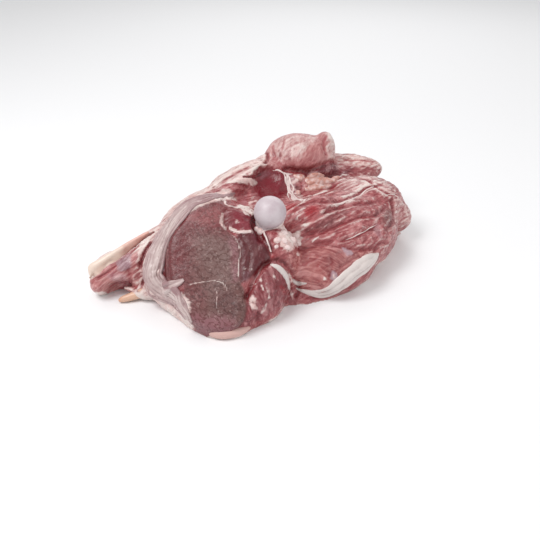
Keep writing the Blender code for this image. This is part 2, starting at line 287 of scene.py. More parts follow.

# Painted shade in the creases and gaps, in a dark blood-red: route, width, strength.
SHADOWS = (
    (((-50, 27), (-59, 22), (-66, 15), (-72, 7), (-77, -4), (-79, -14)), 2.6, 0.8),
    (((2, -14), (-5, -19), (-11, -27), (-15, -37), (-18, -44)), 1.7, 0.55),
    (((-11, 22), (-12, 14), (-8, 8), (-6, 2)), 2.6, 0.9),
    (((2, -13), (8, -14), (12, -16)), 1.6, 0.8),
    (((-23, 62), (-15, 64), (-7, 70)), 1.2, 0.9),
    (((-3, 94), (-2, 86), (-5, 78)), 1.1, 0.6),
    (((2, 98), (3, 88)), 1.0, 0.5),
    (((8, 93), (9, 84)), 0.9, 0.5),
    (((16, 87), (18, 82)), 0.9, 0.5),
    (((12, 77), (26, 75), (38, 76), (50, 81)), 2.0, 0.7),
    (((30, 72), (44, 71), (56, 74)), 2.4, 0.7),
    (((22, 60), (25, 58)), 1.8, 0.9),
    (((-93, 4), (-98, -3), (-100, -10), (-102, -15)), 1.3, 1.0),
    (((-99, -25), (-101, -29)), 1.0, 0.9),
    # a red cut in the fat, its own colour rather than shade
    (((-85, -33), (-82, -38)), 0.9, 0.8),
    (((12, 31), (18, 36)), 2.0, 0.9),
    (((27, 12), (34, 15), (44, 20)), 1.6, 0.6),
    (((78, 14), (86, 17)), 1.6, 0.6),
    (((86, 28), (90, 34)), 1.6, 0.6),
    (((100, 46), (106, 49)), 1.6, 0.6),
    (((52, -3), (58, -6)), 1.6, 0.5),
)

# White fat laid on the flesh: areas with an outline, strength and softness.
FAT_AREAS = (
    # thin veils
    (((8, 12), (30, 30), (60, 45), (95, 62), (112, 60), (122, 40), (112, 20), (92, -2), (60, 0), (25, -2)),
     0.20, 6),
    (((56, 56), (60, 74), (80, 80), (100, 74), (112, 56), (100, 48), (84, 56), (70, 52)), 0.50, 5),
    (((-112, 6), (-70, 34), (-40, 52), (-14, 66), (-4, 80), (-6, 94), (-50, 74), (-112, 30)), 0.60, 5),
    (((104, 26), (124, 26), (126, 48), (114, 54), (105, 46)), 0.38, 4),
    (((60, 84), (104, 84), (106, 104), (60, 104)), 0.42, 4),
    (((-145, -18), (-141, -24), (-125, -9), (-108, 5), (-97, 14), (-96, 26), (-120, 14), (-147, 2)),
     1.0, 1.5),
    (((0, 22), (-12, 28), (-16, 36), (-13, 47), (-8, 40), (-2, 34)), 0.35, 4),
    (((4, 34), (14, 38), (26, 46), (34, 44), (24, 32), (12, 28)), 0.38, 3),
    (((50, 33), (60, 37), (72, 44), (84, 54), (94, 60), (90, 64), (76, 54), (62, 44)), 0.5, 3),
    (((-46, 50), (-34, 54), (-22, 55), (-12, 57), (-12, 63), (-26, 63), (-46, 58)), 0.85, 3),
    # thicker fat
    (((8, 12), (16, 10), (23, 13), (25, 4), (20, -3), (11, -6), (4, -3), (6, 4)), 0.8, 3),
    (((-26, 29), (-17, 29), (-11, 22), (-17, 21), (-22, 25)), 0.8, 1.5),
    (((0, 84), (4, 104), (22, 110), (44, 106), (36, 94), (28, 84), (14, 82), (8, 80)), 0.47, 6),
    (((18, 86), (30, 88), (32, 97), (19, 98)), 0.62, 4),
    (((50, 88), (60, 92), (60, 112), (52, 112)), 0.6, 4),
    (((-24, 70), (-8, 78), (-4, 84), (-12, 86), (-30, 76)), 0.75, 4),
    (((-46, 52), (-30, 57), (-14, 58), (-12, 62), (-32, 62), (-46, 60)), 0.7, 4),
    (((-112, 2), (-90, 16), (-88, -40), (-108, -41), (-103, -10)), 0.62, 5),
    (((-112, 6), (-96, 22), (-78, 36), (-56, 50), (-44, 52), (-60, 36), (-76, 24), (-92, 2)), 0.62, 5),
    (((-108, -38), (-84, -38), (-60, -56), (-58, -66), (-90, -50), (-110, -46)), 0.9, 3),
    (((-46, -70), (-30, -69), (-18, -64), (-16, -72), (-30, -78), (-48, -78)), 0.95, 1.5),
    (((-16, -42), (-11, -42), (-9, -51), (-14, -50)), 0.8, 1.5),
    (((64, 66), (82, 74), (98, 66), (98, 58), (80, 60)), 0.5, 5),
    (((110, 46), (122, 42), (124, 32), (118, 30), (119, 40)), 0.6, 3),
    (((22, 66), (28, 66), (29, 71), (22, 71)), 0.8, 2),
    (((14, -22), (18, -25), (20, -40), (15, -42)), 0.55, 3),
)

# White seams, thin fat and sinew: route, width, strength.
FAT_LINES = (
    (((-29, 6), (-24, 0), (-22, -8), (-23, -18), (-23, -28)), 0.8, 0.75),
    (((-60, -33), (-50, -31), (-40, -30), (-33, -33), (-30, -40)), 0.7, 0.62),
    (((-41, -34), (-38, -40), (-39, -48), (-36, -55)), 0.7, 0.62),
    (((-35, 36), (-33, 28), (-22, 27)), 0.9, 0.8),
    (((-31, 10), (-25, 7), (-14, 7)), 1.6, 0.95),
    (((-35, 22), (-36, 14), (-32, 8)), 1.8, 0.6),
    (((-26, 14), (-23, 15)), 2.2, 0.55),
    (((-20, -22), (-15, -20), (-13, -22)), 0.6, 0.3),
    (((-12, -29), (-11, -33)), 0.9, 0.7),
    (((-7, -28), (-5, -38)), 0.9, 0.4),
    (((2, -24), (6, -30)), 0.9, 0.5),
    (((0, -38), (-4, -50), (-10, -56)), 1.0, 0.45),
    (((-4, -28), (0, -42)), 1.0, 0.3),
    (((28, 46), (38, 50), (50, 55)), 1.2, 0.7),
    (((24, 40), (40, 47), (56, 54), (70, 60)), 1.6, 0.45),
    (((60, 44), (72, 50), (80, 58)), 2.6, 0.55),
    (((80, 60), (92, 62), (98, 58)), 2.6, 0.6),
    (((88, 68), (98, 66), (104, 58)), 2.0, 0.5),
    (((40, 26), (46, 28)), 1.8, 0.6),
    (((24, 14), (30, 18)), 1.8, 0.4),
    (((20, 24), (28, 30)), 2.6, 0.4),
    (((20, 22), (25, 19), (29, 16)), 1.5, 0.6),
    (((14, 24), (19, 27)), 1.3, 0.55),
    (((96, 42), (104, 48), (112, 50)), 2.0, 0.5),
    (((-50, 56), (-40, 50), (-34, 42)), 2.0, 0.4),
    (((-64, 42), (-48, 44), (-36, 40)), 1.8, 0.45),
    (((-60, 54), (-44, 64), (-26, 72)), 1.8, 0.4),
    (((6, 98), (8, 88), (11, 80)), 1.6, 0.5),
    (((12, 102), (16, 92)), 1.6, 0.4),
    (((-14, 46), (-16, 36), (-13, 28)), 2.0, 0.5),
    (((18, 68), (22, 56), (28, 48)), 3.2, 0.6),
    (((66, 98), (98, 95)), 2.0, 0.4),
    (((78, 80), (92, 78), (98, 76)), 3.0, 0.5),
    (((-139, -37), (-130, -36)), 1.4, 0.8),
    (((-118, -30), (-112, -32), (-106, -34)), 1.6, 0.5),
    (((90, -4), (98, 6), (104, 16)), 1.6, 0.3),
    (((21, -7), (22, -9)), 1.4, 0.9),
    # a painted highlight: a small white spot where the wet flesh glints, laid on as fat
    (((41, -24), (43, -27)), 0.9, 0.6),
    (((48, -22), (50, -26)), 1.2, 0.5),
)

# Silverskin, a bluish film: outline, strength and softness.
FILMS = (
    (((-12, 64), (-8, 74), (4, 74), (6, 70), (-2, 64)), 0.35, 6),
    (((-26, 36), (-20, 50), (-16, 44), (-18, 34)), 0.35, 4),
    (((56, -1), (64, -3), (63, -8), (57, -6)), 0.7, 1.5),
    (((46, -20), (51, -19), (52, -27), (47, -27)), 0.7, 1.5),
    (((-84, 8), (-76, 8), (-80, -10), (-81, -28), (-88, -28), (-86, -8)), 0.8, 2),
    (((-120, -8), (-109, -5), (-107, -16), (-118, -20)), 0.5, 2),
    (((82, 14), (90, 8), (92, 14), (88, 22)), 0.4, 2),
    (((-22, -24), (-12, -22), (-10, -28), (-18, -32)), 0.3, 2),
    (((14, 72), (22, 70), (24, 46), (16, 52)), 0.4, 2),
)

# Grain: areas whose fibres run at an angle on the board, and how many times longer than wide they are.
GRAINS = (
    (((-150, -50), (-95, -50), (-90, 20), (-150, 20)), 38, 6),
    (((-110, 0), (-60, 40), (-10, 100), (-60, 90), (-120, 30)), 38, 8),
    (((-24, 8), (4, 8), (4, -20), (-24, -34)), 70, 3),
    (((0, -14), (22, -34), (10, -60), (-24, -72), (-9, -30)), 112, 5),
    (((-14, 74), (60, 76), (64, 116), (-14, 116)), 62, 4),
    (((60, 76), (110, 76), (110, 104), (60, 104)), -4, 6),
    (CUT_FACE, -35, 1.5),
)
LEG_GRAIN = (28, 5)   # everywhere else

# Fibres that spread like a fan: outline, where they spread from, their reach, and times longer than wide.
FAN = (((14, -4), (38, 1), (62, -4), (52, -20), (38, -34), (22, -34)), (26, -52), 40, 9)

# The bundles of fibres that roughen the flesh: their lean on the board, and their length, width and depth.
BUNDLE_LEAN = 0.52
BUNDLE_SIZE = (11, 2.4, 5)

# Ribbons of fat: (across, up, half width) at each station, and their folds: where across the ribbon
# each lies, -1 to 1, its radius as a share of the half width, and how far it stands out, in radii.
STRAP = (
    (-28, 46, 0.6), (-36, 40, 2.4), (-47, 35, 4.6), (-58, 31, 6), (-67, 24, 7), (-74, 15, 7.5),
    (-80, 6, 7.5), (-85, -5, 8), (-88, -16, 8.5), (-89, -26, 9), (-83, -34, 8.2), (-74, -39, 6.8),
    (-66.5, -46, 5), (-60, -57, 2.6),
)
STRAP_FOLDS = (
    (-0.70, 0.34, -0.88), (-0.25, 0.36, -0.88), (0.20, 0.34, -0.88), (0.60, 0.30, -0.95),
    (-0.98, 0.15, 0.0), (-0.76, 0.13, 0.5), (-0.55, 0.15, 0.0), (-0.35, 0.11, 0.7), (-0.15, 0.14, 0.2),
    (0.05, 0.11, 0.7), (0.24, 0.13, 0.1), (0.42, 0.10, 0.5), (0.64, 0.10, -0.8), (0.86, 0.15, 0.5),
)
NOTCH = ((-78, -34, 5), (-71, -33, 3.5), (-66, -31, 2.2), (-63, -29, 1.2))
NOTCH_SIDE = ((-70, -36, 3), (-66.5, -40, 2.6), (-65, -47, 2.4), (-60, -54, 2), (-57, -60, 1.2))
NOTCH_FOLDS = ((-0.5, 0.55, 0.3), (0.45, 0.5, 0.5))
BAND = (
    (20, -32, 0.8), (25, -34, 1.6), (33, -36, 2.8), (42, -36, 3.9), (50, -32.5, 5.2), (57, -27.5, 6.2),
    (64, -21.5, 6.6), (72, -15.5, 6.6), (79, -10, 5.6), (84, -6, 3.8), (88, -2.5, 1.0),
)
BAND_FOLDS = ((-0.55, 0.46, -0.3), (0.0, 0.56, -0.15), (0.52, 0.48, -0.3))
KNEE_FAT = ((0, -17, 1.2), (5, -19, 2.2), (10, -22.5, 2.6), (13, -27, 2.3), (15, -34, 1.2))
SHORT_FAT = ((17, -25.5, 0.8), (20, -28, 1.8), (25, -29, 1.6), (29, -29, 0.7))
EDGE_FOLDS = ((-0.5, 0.5, -0.3), (0.0, 0.6, -0.3), (0.5, 0.5, -0.3))

# The lip of fat under the topside: middle and radius at each station, in the tables' millimetres.
LIP = (
    (-47, -106, 3, 1.5), (-42, -109.5, 4, 3.6), (-35, -111.5, 4.2, 4.1), (-27, -110, 4.2, 4.0),
    (-20, -106.5, 4.0, 3.4), (-15, -102, 3.4, 1.6),
)


# ---------------------------------------------------------------- shader language

class Value:
    """A number or vector socket that can stand in a formula."""

    def __init__(self, shader, socket):
        self.shader = shader
        self.socket = socket

    def _with(self, operation, *others):
        return self.shader.node("ShaderNodeMath", {"operation": operation}, {
            position: value for position, value in enumerate((self, *others))
        })

    def __add__(self, other):
        return self._with("ADD", other)

    def __sub__(self, other):
        return self._with("SUBTRACT", other)

    def __mul__(self, other):
        return self._with("MULTIPLY", other)

    def __rsub__(self, other):
        return (self * -1) + other

    __radd__ = __add__
    __rmul__ = __mul__

    def between(self, low, high):
        """0 below low, 1 above high, and a soft step in between."""
        return self.shader.node(
            "ShaderNodeMapRange", {"interpolation_type": "SMOOTHSTEP"},
            {"Value": self, "From Min": low, "From Max": high},
        )

    def ridge(self, width):
        """1 where the value is a half, down to 0 at the given distance from it."""
        return 1 - (self - 0.5)._with("ABSOLUTE").between(0, width)


class Shader:
    """One material, whose surface is a Principled shader."""

    def __init__(self, name):
        self.material = bpy.data.materials.new(name)
        self.material.use_nodes = True
        self.tree = self.material.node_tree
        self.surface = self.tree.nodes["Principled BSDF"]

    def node(self, kind, settings, sockets, output=0):
        """Adds a node: its settings first, and then the values or links of its sockets."""
        made = self.tree.nodes.new(kind)
        for key, setting in settings.items():
            setattr(made, key, setting)
        for key, value in sockets.items():
            self._feed(made.inputs[key], value)
        return Value(self, made.outputs[output])

    def _feed(self, socket, value):
        if isinstance(value, Value):
            self.tree.links.new(value.socket, socket)
        elif isinstance(value, tuple) and socket.type == "RGBA":
            socket.default_value = (*value, 1)
        else:
            socket.default_value = value

    def attribute(self, name, output="Fac"):
        return self.node("ShaderNodeAttribute", {"attribute_name": name}, {}, output)

    def noise(self, place, scale, detail=3, roughness=0.55):
        """Soft noise, about 0 to 1 round a half."""
        return self.node("ShaderNodeTexNoise", {}, {
            "Vector": place, "Scale": scale, "Detail": detail, "Roughness": roughness,
        })

    def mix(self, factor, first, second):
        """A colour between two colours."""
        made = self.tree.nodes.new("ShaderNodeMix")
        made.data_type = "RGBA"
        for index, value in ((0, factor), (6, first), (7, second)):
            self._feed(made.inputs[index], value)
        return Value(self, made.outputs[2])

    def tinted(self, colour, tint):
        """A colour multiplied by a tint."""
        return self.node("ShaderNodeVectorMath", {"operation": "MULTIPLY"}, {0: colour, 1: tint})

    def bump(self, height, strength, distance):
        return self.node("ShaderNodeBump", {}, {
            "Height": height, "Strength": strength, "Distance": distance,
        })

    def finish(self, **sockets):
        """Feeds the surface; a socket's name is written with _ for its spaces."""
        for name, value in sockets.items():
            self._feed(self.surface.inputs[name.replace("_", " ").title()], value)
        return self.material


def flesh_material(fat_white, fat_pink):
    """Moist flesh: painted tones, fibres and flecks, with fat and silverskin over it."""
    shader = Shader("raw_flesh")
    fibre = shader.attribute("fibre", "Vector")
    here = shader.node("ShaderNodeTexCoord", {}, {}, "Object")
    grain = shader.attribute("grain")
    cut = shader.attribute("cut")
    fibres = shader.noise(fibre, 520, 4, 0.62)
    bundles = shader.noise(fibre, 170, 3)
    flecks = shader.noise(here, 620, 3, 0.65)
    cloud = shader.noise(here, 75, 3)

    # muscle: dark between the fibres and pale along the bundles
    tone = shader.attribute("tone", "Color")
    dark = shader.tinted(tone, FIBRE_SHADE)
    pale = shader.mix(0.24, shader.tinted(tone, FIBRE_LIGHT), FIBRE_PALE)
    strands = shader.mix(fibres.between(0.36, 0.60) * grain + (1 - grain) * 0.7, dark, tone)
    raised = bundles.between(0.50, 0.66) * 0.60 + fibres.between(0.55, 0.70) * 0.60
    lifted = shader.mix(raised * grain, strands, pale)
    blotched = shader.mix(cloud.between(0.52, 0.66) * 0.35 * grain, lifted, dark)

    # the aged cut face: short dark wrinkles and pale grit
    wrinkles = shader.noise(fibre, 300, 2, 0.5).ridge(0.075)
    aged = shader.mix(wrinkles, tone, shader.tinted(tone, WRINKLE_SHADE))
    mottled = shader.mix(cloud.between(0.44, 0.62) * 0.35, aged, shader.tinted(tone, MOTTLE_SHADE))
    grit = shader.noise(here, 440, 2, 0.6).between(0.56, 0.70)
    speckled = shader.mix(grit * 0.36, mottled, shader.mix(0.55, tone, GRIT_PALE))
    meat = shader.mix(cut, blotched, speckled)

    # silverskin, and then fat, over the meat
    film = (shader.attribute("film") + (fibres - 0.5) * 0.5).between(0.20, 0.80)
    skinned = shader.mix(film * 0.62, meat, SILVERSKIN)
    fringe = (fibres - 0.5) * 0.85 + (flecks - 0.5) * 0.45 + (bundles - 0.5) * 0.5
    cover = (shader.attribute("fat") + fringe * (grain * 0.75 + 0.25)).between(0.30, 0.86)
    thin = cloud.between(0.42, 0.66) * 0.5 + fibres.between(0.45, 0.70) * 0.35
    colour = shader.mix(cover, skinned, shader.mix(thin, fat_white, fat_pink))

    wet = shader.noise(here, 160, 2)
    relief = fibres * 0.55 + flecks * 0.45 + cover * 0.35
    return shader.finish(
        base_color=colour, roughness=wet * 0.36 + 0.12 + cut * 0.10,
        normal=shader.bump(relief, 0.65, 0.0009),
    )


def fat_material(name, white, tinted, streak_scale=300, rough=0.36):
    """Firm fat: cream, with long streaks, pink where it thins out, and painted shade in its grooves and
    folds.
    """
    shader = Shader(name)
    fibre = shader.attribute("fibre", "Vector")
    here = shader.node("ShaderNodeTexCoord", {}, {}, "Object")
    streaks = shader.noise(fibre, streak_scale, 4, 0.6)
    cloud = shader.noise(here, 90, 3)
    tint = shader.attribute("tint") + (streaks - 0.5) * 0.7 + (cloud - 0.5) * 0.5
    colour = shader.mix(tint.between(0.25, 0.85), white, tinted)
    # painted shade in the grooves and folds
    shaded = shader.mix(shader.attribute("groove") * 0.75, colour, FOLD_SHADE)
    relief = streaks * 0.6 + cloud * 0.2
    return shader.finish(
        base_color=shaded, roughness=cloud * 0.25 + (rough - 0.12),
        normal=shader.bump(relief, 0.3, 0.0005),
    )


def bone_material():
    """Smooth wet cartilage, a little mottled."""
    shader = Shader("bone")
    here = shader.node("ShaderNodeTexCoord", {}, {}, "Object")
    cloud = shader.noise(here, 120, 3)
    fine = shader.noise(here, 700, 2)
    colour = shader.mix(cloud.between(0.35, 0.7), BONE_PALE, BONE_DUSK)
    return shader.finish(
        base_color=colour, roughness=cloud * 0.2 + 0.36, normal=shader.bump(fine, 0.06, 0.0003),
    )


# ---------------------------------------------------------------- drawing and modelling helpers

def smooth_route(points, spacing=1.0, closed=False):
    """Points at an even spacing along a smooth curve through the given ones, of any dimension."""
    fixed = np.array(points, float)
    if closed:
        padded = np.vstack((fixed[-1], fixed, fixed[0], fixed[1]))
    else:
        padded = np.vstack((2 * fixed[0] - fixed[1], fixed, 2 * fixed[-1] - fixed[-2]))
    steps = []
    for before, start, end, after in zip(padded, padded[1:], padded[2:], padded[3:]):
        count = max(2, int(np.linalg.norm((end - start)[:2]) / spacing))
        for share in np.arange(count) / count:
            steps.append(0.5 * (
                2 * start + (end - before) * share
                + (2 * before - 5 * start + 4 * end - after) * share ** 2
                + (3 * start - before - 3 * end + after) * share ** 3
            ))
    if not closed:
        steps.append(fixed[-1])
    return np.array(steps)


def to_route(places, route):
    """Each place's distance to a route, its share of the way along it, and its side of it, 1 or -1."""
    best = np.full(len(places), 1e9)
    share = np.zeros(len(places))
    side = np.zeros(len(places))
    last = len(route) - 1
    for index, (start, end) in enumerate(zip(route, route[1:])):
        along = end - start
        span = max(along @ along, 1e-9)
        offset = places - start
        here = np.clip(offset @ along / span, 0, 1)
        away = np.linalg.norm(offset - here[:, None] * along, axis=1)
        nearer = away < best
        best[nearer] = away[nearer]
        share[nearer] = ((index + here) / last)[nearer]
        side[nearer] = (along[0] * offset[:, 1] - along[1] * offset[:, 0])[nearer]
    return best, share, np.sign(side)


def into_area(places, outline):
    """How deep each place lies inside a smooth closed outline; negative outside."""
    route = smooth_route(outline, 2.0, closed=True)
    loop = np.vstack((route, route[0]))
    away, _, _ = to_route(places, loop)
    inside = np.zeros(len(places), bool)
    for (x0, y0), (x1, y1) in zip(loop, loop[1:]):
        if y0 == y1:
            continue
        crosses = (y0 > places[:, 1]) != (y1 > places[:, 1])
        inside ^= crosses & (places[:, 0] < (x1 - x0) * (places[:, 1] - y0) / (y1 - y0) + x0)
    return np.where(inside, away, -away)


def soft_step(value):
    """0 below 0, 1 above 1, smooth in between."""
    held = np.clip(value, 0, 1)
    return held * held * (3 - 2 * held)


def to_table(points):
    """World metres to the millimetres of the tables."""
    return (points - np.array(TABLE_ZERO)) / MM


def to_world(points):
    """The tables' millimetres to world metres."""
    return points * MM + np.array(TABLE_ZERO)


def on_board(points):
    """Where points show on the board: across, up, and how deep behind it."""
    return np.stack((points[:, 0], points @ BOARD_UP, points @ BOARD_IN), axis=1)


def turned(board, lean):
    """How far places on the board lie along and beside a line with the given lean."""
    along = board[:, 0] * math.cos(lean) + board[:, 1] * math.sin(lean)
    side = board[:, 1] * math.cos(lean) - board[:, 0] * math.sin(lean)
    return along, side


def grain_noise(points, size, seed=0):
    """Smooth noise from -1 to 1 with features of about the given size."""
    shift = Vector((13.7, 5.1, 9.3)) * (seed + 1)
    return np.array([noise.noise(Vector(point) / size + shift) for point in points])


def read_points(data):
    flat = np.empty(len(data.vertices) * 3)
    data.vertices.foreach_get("co", flat)
    return flat.reshape(-1, 3)


def read_normals(data):
    flat = np.empty(len(data.vertices) * 3)
    data.vertex_normals.foreach_get("vector", flat)
    return flat.reshape(-1, 3)


def write_points(data, points):
    data.vertices.foreach_set("co", points.ravel())
    data.update()


def write_attribute(data, name, kind, values):
    """Stores a value for each vertex; kind is FLOAT, FLOAT_VECTOR or FLOAT_COLOR."""
    layer = data.attributes.new(name, kind, "POINT")
    field = {"FLOAT": "value", "FLOAT_VECTOR": "vector", "FLOAT_COLOR": "color"}[kind]
    layer.data.foreach_set(field, np.ascontiguousarray(values, dtype=np.float32).ravel())


def calmed(data, values, rounds):
    """Values of the points, each row averaged with those of its neighbours a number of times."""
    ends = np.empty(len(data.edges) * 2, dtype=np.int64)
    data.edges.foreach_get("vertices", ends)
    first, second = ends.reshape(-1, 2).T
    count = len(values)
    links = np.bincount(ends, minlength=count)[:, None]
    calm = values.copy()
    for _ in range(rounds):
        total = np.stack([
            np.bincount(first, column[second], count) + np.bincount(second, column[first], count)
            for column in calm.T
        ], axis=1)
        calm = 0.5 * calm + 0.5 * total / links
    return calm


def hollowness(data, points, rounds):
    """How far each point lies below the mean of its surroundings, in the units of the points."""
    return ((calmed(data, points, rounds) - points) * read_normals(data)).sum(axis=1)


def new_piece(name, mesh):
    """Makes an object from a bmesh and frees it."""
    data = bpy.data.meshes.new(name)
    mesh.to_mesh(data)
    mesh.free()
    piece = bpy.data.objects.new(name, data)
    bpy.context.scene.collection.objects.link(piece)
    return piece


def apply_modifiers(piece):
    """Turns a piece's modifiers into its mesh."""
    evaluated = piece.evaluated_get(bpy.context.evaluated_depsgraph_get())
    data = bpy.data.meshes.new_from_object(evaluated)
    piece.modifiers.clear()
    piece.data = data
    data.name = piece.name


def reskin(piece, voxel, smoothing):
    """Merges a piece's bodies into one skin of even small faces and softens it."""
    merge = piece.modifiers.new("merge", "REMESH")
    merge.mode = "VOXEL"
    merge.voxel_size = voxel * MM
    soften = piece.modifiers.new("soften", "SMOOTH")
    soften.factor = 0.5
    soften.iterations = smoothing
    apply_modifiers(piece)


def finish_piece(piece, material, slot, *nodes):
    """Gives a piece its finish, makes it part of the root body, and hides the parts of model.glb it stands
    for.
    """
    piece.data.materials.clear()
    piece.data.materials.append(material)
    piece.data.shade_smooth()
    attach(piece, "root")
    if nodes:
        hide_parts(*nodes)


def rope(mesh, stations, sides=12):
    """Adds a closed rope through stations of (x, y, z, radius), in the tables' millimetres."""
    ring_before = None
    for index, (*place, radius) in enumerate(stations):
        ahead = Vector(stations[min(index + 1, len(stations) - 1)][:3])
        behind = Vector(stations[max(index - 1, 0)][:3])
        turn = (ahead - behind).to_track_quat("Z", "Y").to_matrix().to_4x4()
        middle = Vector(to_world(np.array(place)))
        ring = bmesh.ops.create_circle(
            mesh, cap_ends=False, segments=sides, radius=max(radius, 0.05) * MM,
            matrix=Matrix.Translation(middle) @ turn,
        )["verts"]
        edges = list({edge for vert in ring for edge in vert.link_edges})
        if ring_before is None:
            bmesh.ops.edgeloop_fill(mesh, edges=edges)
        else:
            bmesh.ops.bridge_loops(mesh, edges=[*ring_before, *edges])
        ring_before = edges
    bmesh.ops.edgeloop_fill(mesh, edges=ring_before)


class Surface:
    """The finished flesh, onto which other pieces are laid."""

    def __init__(self, piece):
        data = piece.data
        data.calc_loop_triangles()
        points = to_table(read_points(data))
        faces = [tuple(triangle.vertices) for triangle in data.loop_triangles]
        self.tree = BVHTree.FromPolygons([Vector(point) for point in points], faces)

    def under(self, across, up, lift=0.0):
        """The place on the flesh below a place on the board, raised by lift."""
        start = Vector((across, 0, 0)) + Vector(BOARD_UP) * up - Vector(BOARD_IN) * BOARD_DISTANCE
        hit, normal, _, _ = self.tree.ray_cast(start, Vector(BOARD_IN))
        if hit is None:
            hit, normal, _, _ = self.tree.find_nearest(start + Vector(BOARD_IN) * BOARD_DISTANCE)
        return hit + normal * lift


surfaces = {}


def flesh_surface():
    """The finished flesh, which the flesh step leaves behind."""
    if "flesh" not in surfaces:
        raise RuntimeError("The flesh is not built yet; its step comes first")
    return surfaces["flesh"]


# ---------------------------------------------------------------- the flesh

class Flesh:
    """The flesh's points, which the tables above are worked into."""

    def __init__(self, piece):
        self.data = piece.data
        self.points = to_table(read_points(self.data))
        self.normals = read_normals(self.data)
        self.read_board()
        self.fine = grain_noise(self.points, 2.6, 1)
        self.middle = grain_noise(self.points, 6.5, 2)
        self.broad = grain_noise(self.points, 19, 3)

    def read_board(self):
        self.board = on_board(self.points)
        self.facing = -(self.normals @ BOARD_IN)
        surface = BVHTree.FromPolygons(
            [Vector(point) for point in self.points],
            [tuple(face.vertices) for face in self.data.polygons],
        )
        towards = -Vector(BOARD_IN)
        self.seen = np.zeros(len(self.points), bool)
        for index in np.nonzero(self.facing > 0.02)[0]:
            start = Vector(self.points[index]) + towards * 0.6
            self.seen[index] = surface.ray_cast(start, towards)[0] is None
        self.shown = calmed(self.data, self.seen[:, None].astype(float), 9)[:, 0]

    def near(self, route, reach):
        """The seen points within reach of a route, their distance from it and share along it."""
        line = smooth_route(route, 2.0)
        low, high = line.min(axis=0) - reach, line.max(axis=0) + reach
        flat = self.board[:, :2]
        chosen = np.nonzero(self.seen & (flat > low).all(axis=1) & (flat < high).all(axis=1))[0]
        away, share, _ = to_route(flat[chosen], line)
        return chosen, away, share

    def groove(self, route, width, depth):
        """Presses a groove into the flesh, which tapers off at its ends."""
        chosen, away, share = self.near(route, width * 2)
        wander = 1 + 0.35 * self.middle[chosen]
        across = np.clip(1 - (away / (width * wander)) ** 2, 0, 1) ** 2
        taper = soft_step(np.minimum(share, 1 - share) * 8 + 0.25)
        self.points[chosen] -= self.normals[chosen] * (depth * across * taper)[:, None]

    def share_in(self, outline, soft, ragged=1.0):
        """How far each point belongs to an area, 0 to 1, with an uneven edge."""
        deep = into_area(self.board[:, :2], outline)
        deep = deep + ragged * (1.2 * self.fine + 1.6 * self.middle)
        return soft_step(deep / soft * 0.5 + 0.5) * self.shown

    def share_along(self, route, width, ragged=0.35):
        """How far each point belongs to a line, 0 to 1."""
        chosen, away, share = self.near(route, width * 2.5)
        reach = width * (1 + ragged * (self.middle[chosen] + self.fine[chosen]))
        held = np.zeros(len(self.points))
        taper = soft_step(np.minimum(share, 1 - share) * 10 + 0.35)
        held[chosen] = soft_step(1.6 - 1.2 * away / np.maximum(reach, 0.3)) * taper
        return held


def carve(flesh):
    """Presses in the seams between the muscles and roughens what lies between them."""
    for middle, reach, push in PUSHES:
        away = np.linalg.norm((flesh.points - np.array(middle)) / np.array(reach), axis=1)
        flesh.points += soft_step(1 - away)[:, None] * np.array(push)
    for route, width, depth in GROOVES:
        flesh.groove(route, width, depth)
    calm = 1 - 0.8 * flesh.share_in(CUT_FACE, 2.0, 0.0)
    for outline, share, soft in ((CHUMP, 0.6, 6), (HOLLOW, 0.7, 4), (DEEP_MUSCLE, 0.75, 4)):
        calm *= 1 - share * flesh.share_in(outline, soft)
    along, side = turned(flesh.board, BUNDLE_LEAN)
    strands = grain_noise(np.stack((along, side, flesh.board[:, 2]), axis=1) / BUNDLE_SIZE, 1.0, 5)
    height = 0.75 * flesh.broad + (0.5 * flesh.middle + 0.2 * flesh.fine + 0.7 * strands) * calm
    standing = soft_step((flesh.points[:, 2] - 1.5) / 5)
    flesh.points += flesh.normals * (height * standing)[:, None]


def lay(tone, colour, share):
    """Moves each point's tone towards a colour by its own share."""
    tone += (np.array(colour) - tone) * share[:, None]


def strongest(flesh, areas, lines=()):
    """Each point's strongest share in any of the areas or along any of the lines."""
    held = np.zeros(len(flesh.points))
    for outline, strength, soft in areas:
        held = np.maximum(held, flesh.share_in(outline, soft) * strength)
    for route, width, strength in lines:
        held = np.maximum(held, flesh.share_along(route, width) * strength)
    return held


